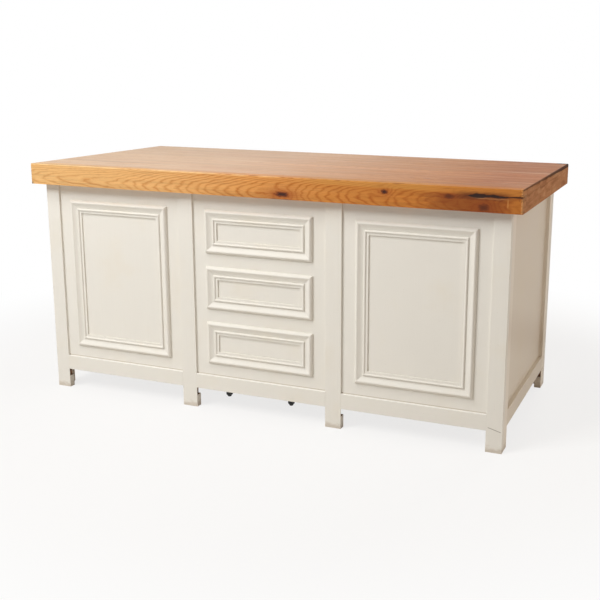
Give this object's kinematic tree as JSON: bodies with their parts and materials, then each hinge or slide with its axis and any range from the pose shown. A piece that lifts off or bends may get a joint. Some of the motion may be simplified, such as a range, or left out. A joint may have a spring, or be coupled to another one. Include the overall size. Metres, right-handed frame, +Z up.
{
  "type": "kitchen island unit",
  "caption": "Freestanding kitchen island: thick oak plank worktop on a cream panelled cabinet with mitred panel mouldings, leg stiles, doors, drawers and levelling feet.",
  "frame": {"origin": "on the floor, under the middle of the worktop", "axes": "+X along the worktop's length, to the right as one faces the panelled side; +Y from the panelled side to the side with the doors and drawers; +Z up"},
  "size_m": [1.9, 0.9, 0.9],
  "materials": {
    "oiled_oak": "oiled, satin, open grain",
    "cream_paint": "brush-painted timber, satin",
    "bare_timber": "sanded, clear sealed, matt",
    "hinge_metal": "satin",
    "black_plastic": "moulded, matt"
  },
  "bodies": {
    "cabinet": {"worktop_front_lipping": "oiled_oak", "worktop_plank_1": "oiled_oak", "worktop_plank_2": "oiled_oak", "worktop_plank_3": "oiled_oak", "worktop_rear_plank": "oiled_oak", "front_corner_stile_left": "cream_paint", "front_corner_stile_right": "cream_paint", "front_mid_stile_left": "cream_paint", "front_mid_stile_right": "cream_paint", "front_rail_left": "cream_paint", "front_rail_centre": "cream_paint", "front_rail_right": "cream_paint", "front_panel_left": "cream_paint", "front_panel_centre": "cream_paint", "front_panel_right": "cream_paint", "panel_moulding_left": "cream_paint", "panel_moulding_right": "cream_paint", "panel_moulding_top": "cream_paint", "panel_moulding_middle": "cream_paint", "panel_moulding_bottom": "cream_paint", "rear_corner_stile_left": "cream_paint", "rear_corner_stile_right": "cream_paint", "rear_mid_stile_left": "cream_paint", "rear_mid_stile_right": "cream_paint", "rear_top_rail": "cream_paint", "rear_bottom_rails": "cream_paint", "side_stile_left_front": "cream_paint", "side_stile_left_rear": "cream_paint", "side_stile_right_front": "cream_paint", "side_stile_right_rear": "cream_paint", "side_rail_left": "cream_paint", "side_rail_right": "cream_paint", "end_panel_left": "cream_paint", "end_panel_right": "cream_paint", "bottom_board": "bare_timber", "partition_left": "bare_timber", "partition_right": "bare_timber", "worktop_bearer": "bare_timber", "shelves": "bare_timber", "shelf_battens": "bare_timber", "drawer_runners": "bare_timber", "hinge_frame_leaves": "hinge_metal", "foot_sockets": "black_plastic"},
    "door_left": {"door_left": "cream_paint", "hinge_door_leaves_left": "hinge_metal", "door_knob_left": "oiled_oak"},
    "door_right": {"door_right": "cream_paint", "hinge_door_leaves_right": "hinge_metal", "door_knob_right": "oiled_oak"},
    "drawer_bottom": {"drawer_front_bottom": "cream_paint", "drawer_box_bottom": "bare_timber", "drawer_knob_bottom": "oiled_oak"},
    "drawer_middle": {"drawer_front_middle": "cream_paint", "drawer_box_middle": "bare_timber", "drawer_knob_middle": "oiled_oak"},
    "drawer_top": {"drawer_front_top": "cream_paint", "drawer_box_top": "bare_timber", "drawer_knob_top": "oiled_oak"},
    "foot_left": {"levelling_foot_left": "black_plastic"},
    "foot_right": {"levelling_foot_right": "black_plastic"}
  },
  "joints": [
    {"name": "door_left_swing", "type": "hinge", "parent": "cabinet", "child": "door_left", "pos_m": [-0.8515, 0.3798, 0.4575], "axis": [0, 0, 1], "range_deg": [0, 160]},
    {"name": "door_right_swing", "type": "hinge", "parent": "cabinet", "child": "door_right", "pos_m": [0.8515, 0.3798, 0.4575], "axis": [0, 0, -1], "range_deg": [0, 160]},
    {"name": "drawer_bottom_slide", "type": "slide", "parent": "cabinet", "child": "drawer_bottom", "axis": [0, 1, 0], "range_m": [0, 0.42]},
    {"name": "drawer_middle_slide", "type": "slide", "parent": "cabinet", "child": "drawer_middle", "axis": [0, 1, 0], "range_m": [0, 0.42]},
    {"name": "drawer_top_slide", "type": "slide", "parent": "cabinet", "child": "drawer_top", "axis": [0, 1, 0], "range_m": [0, 0.42]},
    {"name": "foot_left_screw", "type": "slide", "parent": "cabinet", "child": "foot_left", "axis": [0, 0, 1], "range_m": [0, 0.012]},
    {"name": "foot_right_screw", "type": "slide", "parent": "cabinet", "child": "foot_right", "axis": [0, 0, 1], "range_m": [0, 0.012]}
  ]
}
